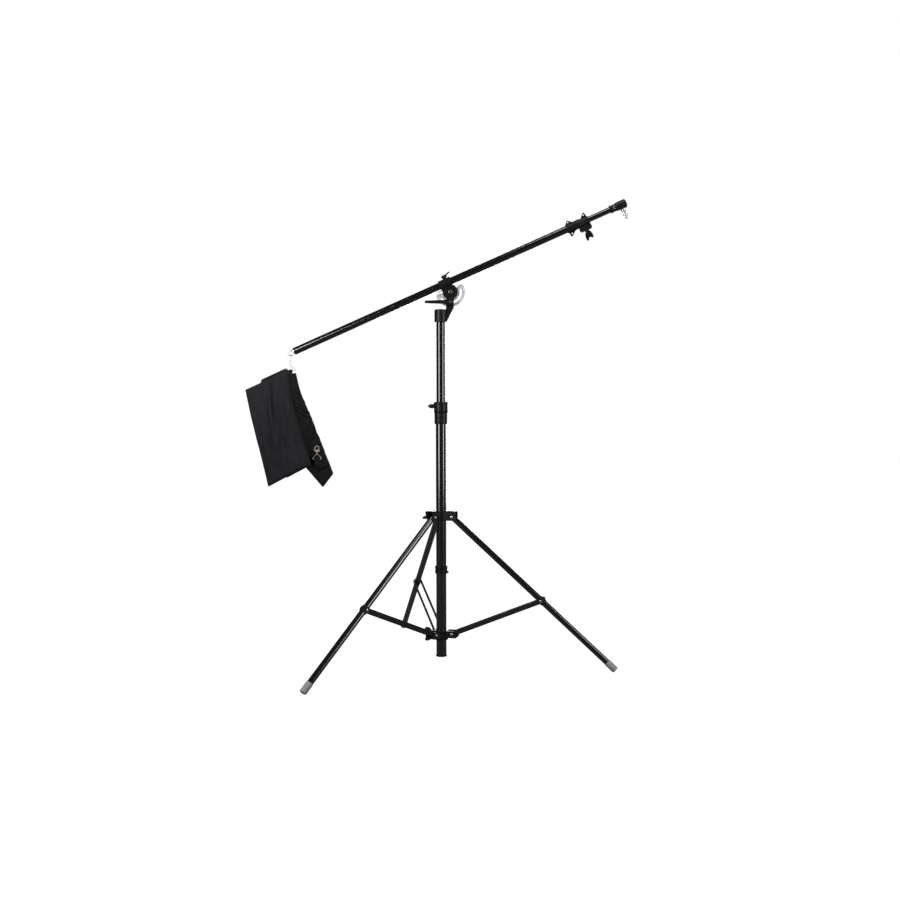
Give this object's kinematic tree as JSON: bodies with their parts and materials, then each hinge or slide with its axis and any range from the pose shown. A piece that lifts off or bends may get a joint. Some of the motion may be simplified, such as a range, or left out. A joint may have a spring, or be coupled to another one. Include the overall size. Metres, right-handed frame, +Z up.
{
  "type": "boom light stand",
  "caption": "Folding tripod stand with a telescopic column, a tilting head with a slotted arc plate, a telescopic boom with a spigot, and an empty saddle sandbag on a snap hook.",
  "frame": {"origin": "centre of the foot cap's flat bottom face, on the column's axis, 18 mm above the floor that the three feet stand on", "axes": "+Z up along the column, +X towards the boom's raised end, +Y away from the viewer"},
  "size_m": [1.3201, 1.0061, 1.5907],
  "materials": {
    "tube_lacquer": "satin dark grey lacquer",
    "satin_black": "satin black powder coat on castings",
    "black_plastic": "fine-grained black moulding",
    "grey_rubber": "moulded pale grey rubber",
    "chrome": "polished",
    "silver": "bright plated steel",
    "nylon": "black woven nylon"
  },
  "bodies": {
    "column": {"outer_tube": "tube_lacquer", "foot_cap": "black_plastic", "stop_ring": "satin_black", "mid_collar": "satin_black", "collar_clamp": "satin_black"},
    "collar_knob": {"collar_knob": "black_plastic"},
    "crown": {"crown": "satin_black", "crown_rivet_1": "silver", "crown_rivet_2": "silver", "crown_rivet_3": "silver"},
    "crown_knob": {"crown_knob": "black_plastic"},
    "hub": {"hub": "satin_black", "hub_rivet_1": "silver", "hub_rivet_2": "silver", "hub_rivet_3": "silver"},
    "hub_knob": {"hub_knob": "black_plastic"},
    "leg_1": {"leg_tube_1": "tube_lacquer", "leg_foot_1": "grey_rubber", "strut_clip_1": "black_plastic"},
    "strut_1": {"strut_bar_1a": "satin_black", "strut_bar_1b": "satin_black"},
    "leg_2": {"leg_tube_2": "tube_lacquer", "leg_foot_2": "grey_rubber", "strut_clip_2": "black_plastic"},
    "strut_2": {"strut_bar_2a": "satin_black", "strut_bar_2b": "satin_black"},
    "leg_3": {"leg_tube_3": "tube_lacquer", "leg_foot_3": "grey_rubber", "strut_clip_3": "black_plastic"},
    "strut_3": {"strut_bar_3a": "satin_black", "strut_bar_3b": "satin_black"},
    "mast": {"inner_tube": "tube_lacquer", "guide_bush": "black_plastic"},
    "head": {"head_bracket": "satin_black", "head_screw": "silver", "pivot_rivet": "silver", "tilt_bolt": "silver"},
    "tilt_lever": {"tilt_lever": "black_plastic"},
    "boom_clamp": {"boom_clamp": "satin_black", "arc_plate": "silver"},
    "clamp_screw": {"clamp_screw": "black_plastic"},
    "boom_outer": {"boom_outer_tube": "tube_lacquer", "boom_end_plug": "chrome", "joint_sleeve": "black_plastic", "joint_clamp": "black_plastic"},
    "joint_knob": {"joint_knob": "black_plastic"},
    "boom_inner": {"boom_inner_tube": "tube_lacquer", "tip_fitting": "satin_black", "tip_screw": "silver", "spigot": "chrome"},
    "snap_hook": {"snap_hook": "chrome"},
    "snap_gate": {"snap_gate": "chrome"},
    "swivel_eye": {"swivel_eye": "chrome"},
    "sandbag": {"web_loop": "nylon", "bag_front_pouch": "nylon", "bag_rear_pouch": "nylon", "side_strap": "nylon"},
    "side_eye": {"side_eye": "chrome"},
    "side_hook": {"side_hook": "chrome"},
    "side_gate": {"side_gate": "chrome"}
  },
  "joints": [
    {"name": "crown_slide", "type": "slide", "parent": "column", "child": "crown", "axis": [0, 0, 1], "range_m": [0, 0.2935]},
    {"name": "hub_slide", "type": "slide", "parent": "column", "child": "hub", "axis": [0, 0, -1], "range_m": [0, 0.0499]},
    {"name": "leg_1_fold", "type": "hinge", "parent": "crown", "child": "leg_1", "pos_m": [0.03864, -0.01035, 0.4795], "axis": [0.2588, 0.9659, 0], "range_deg": [0, 46.3]},
    {"name": "strut_1_fold", "type": "hinge", "parent": "hub", "child": "strut_1", "pos_m": [0.03864, -0.01035, 0.079], "axis": [-0.2588, -0.9659, 0], "range_deg": [0, 65.2]},
    {"name": "leg_2_fold", "type": "hinge", "parent": "crown", "child": "leg_2", "pos_m": [-0.02828, -0.02828, 0.4795], "axis": [0.7071, -0.7071, 0], "range_deg": [0, 46.3]},
    {"name": "strut_2_fold", "type": "hinge", "parent": "hub", "child": "strut_2", "pos_m": [-0.02828, -0.02828, 0.079], "axis": [-0.7071, 0.7071, 0], "range_deg": [0, 65.2]},
    {"name": "leg_3_fold", "type": "hinge", "parent": "crown", "child": "leg_3", "pos_m": [-0.01035, 0.03864, 0.4795], "axis": [-0.9659, -0.2588, 0], "range_deg": [0, 46.3]},
    {"name": "strut_3_fold", "type": "hinge", "parent": "hub", "child": "strut_3", "pos_m": [-0.01035, 0.03864, 0.079], "axis": [0.9659, 0.2588, 0], "range_deg": [0, 65.2]},
    {"name": "crown_knob_turn", "type": "hinge", "parent": "crown", "child": "crown_knob", "pos_m": [-0.02898, 0.00777, 0.4845], "axis": [-0.9659, 0.2588, 0], "range_deg": [-90, 360]},
    {"name": "hub_knob_turn", "type": "hinge", "parent": "hub", "child": "hub_knob", "pos_m": [-0.02898, 0.00777, 0.074], "axis": [-0.9659, 0.2588, 0], "range_deg": [-90, 360]},
    {"name": "collar_knob_turn", "type": "hinge", "parent": "column", "child": "collar_knob", "pos_m": [-0.0265, 0, 0.861], "axis": [-1, 0, 0], "range_deg": [-90, 360]},
    {"name": "mast_slide", "type": "slide", "parent": "column", "child": "mast", "axis": [0, 0, 1], "range_m": [-0.27, 0.45]},
    {"name": "head_swivel", "type": "hinge", "parent": "mast", "child": "head", "pos_m": [0, 0, 1.17], "axis": [0, 0, 1], "continuous": true},
    {"name": "tilt_lever_turn", "type": "hinge", "parent": "head", "child": "tilt_lever", "pos_m": [0.0356, 0, 1.2172], "axis": [0, 1, 0], "range_deg": [0, 28]},
    {"name": "boom_tilt", "type": "hinge", "parent": "head", "child": "boom_clamp", "pos_m": [0.033, 0, 1.254], "axis": [0, -1, 0], "range_deg": [-55, 30]},
    {"name": "clamp_screw_turn", "type": "hinge", "parent": "boom_clamp", "child": "clamp_screw", "pos_m": [0.01368, 0, 1.30232], "axis": [-0.4067, 0, 0.9135], "range_deg": [-90, 360]},
    {"name": "boom_slide", "type": "slide", "parent": "boom_clamp", "child": "boom_outer", "axis": [0.9135, 0, 0.4067], "range_m": [-0.4, 0.25]},
    {"name": "joint_knob_turn", "type": "hinge", "parent": "boom_outer", "child": "joint_knob", "pos_m": [0.50469, 0, 1.46565], "axis": [0.4067, 0, -0.9135], "range_deg": [-90, 360]},
    {"name": "boom_extend", "type": "slide", "parent": "boom_outer", "child": "boom_inner", "axis": [0.9135, 0, 0.4067], "range_m": [-0.075, 0.7]},
    {"name": "hook_swing", "type": "hinge", "parent": "boom_outer", "child": "snap_hook", "pos_m": [-0.51759, 0, 1.04499], "axis": [0, -1, 0], "range_deg": [-30, 55]},
    {"name": "snap_gate_open", "type": "hinge", "parent": "snap_hook", "child": "snap_gate", "pos_m": [-0.51759, 0.007, 1.01899], "axis": [1, 0, 0], "range_deg": [0, 25], "stiffness_Nm_per_rad": 0.02, "springref_deg": -9.74},
    {"name": "eye_swivel", "type": "hinge", "parent": "snap_hook", "child": "swivel_eye", "pos_m": [-0.51759, 0, 1.01], "axis": [0, 0, 1], "continuous": true},
    {"name": "bag_swing", "type": "hinge", "parent": "swivel_eye", "child": "sandbag", "pos_m": [-0.51759, 0, 0.98499], "axis": [1, 0, 0], "range_deg": [-30, 30]},
    {"name": "side_eye_fold", "type": "hinge", "parent": "sandbag", "child": "side_eye", "pos_m": [-0.42659, -0.008, 0.67999], "axis": [0.848, 0.5299, 0], "range_deg": [0, 60]},
    {"name": "side_hook_swivel", "type": "hinge", "parent": "side_eye", "child": "side_hook", "pos_m": [-0.42659, -0.008, 0.7], "axis": [0, 0, 1], "range_deg": [-30, 210]},
    {"name": "side_gate_open", "type": "hinge", "parent": "side_hook", "child": "side_gate", "pos_m": [-0.43235, -0.0116, 0.71099], "axis": [-0.5299, 0.848, 0], "range_deg": [0, 20], "stiffness_Nm_per_rad": 0.02, "springref_deg": -9.74}
  ],
  "couplings": [
    {"joint": "hub_slide", "follows": "crown_slide", "ratio": 0.16981},
    {"joint": "leg_1_fold", "follows": "crown_slide", "rad_per_m": 2.7516},
    {"joint": "strut_1_fold", "follows": "crown_slide", "rad_per_m": 3.8766},
    {"joint": "leg_2_fold", "follows": "crown_slide", "rad_per_m": 2.7516},
    {"joint": "strut_2_fold", "follows": "crown_slide", "rad_per_m": 3.8766},
    {"joint": "leg_3_fold", "follows": "crown_slide", "rad_per_m": 2.7516},
    {"joint": "strut_3_fold", "follows": "crown_slide", "rad_per_m": 3.8766},
    {"joint": "hook_swing", "follows": "boom_tilt", "ratio": -1}
  ]
}
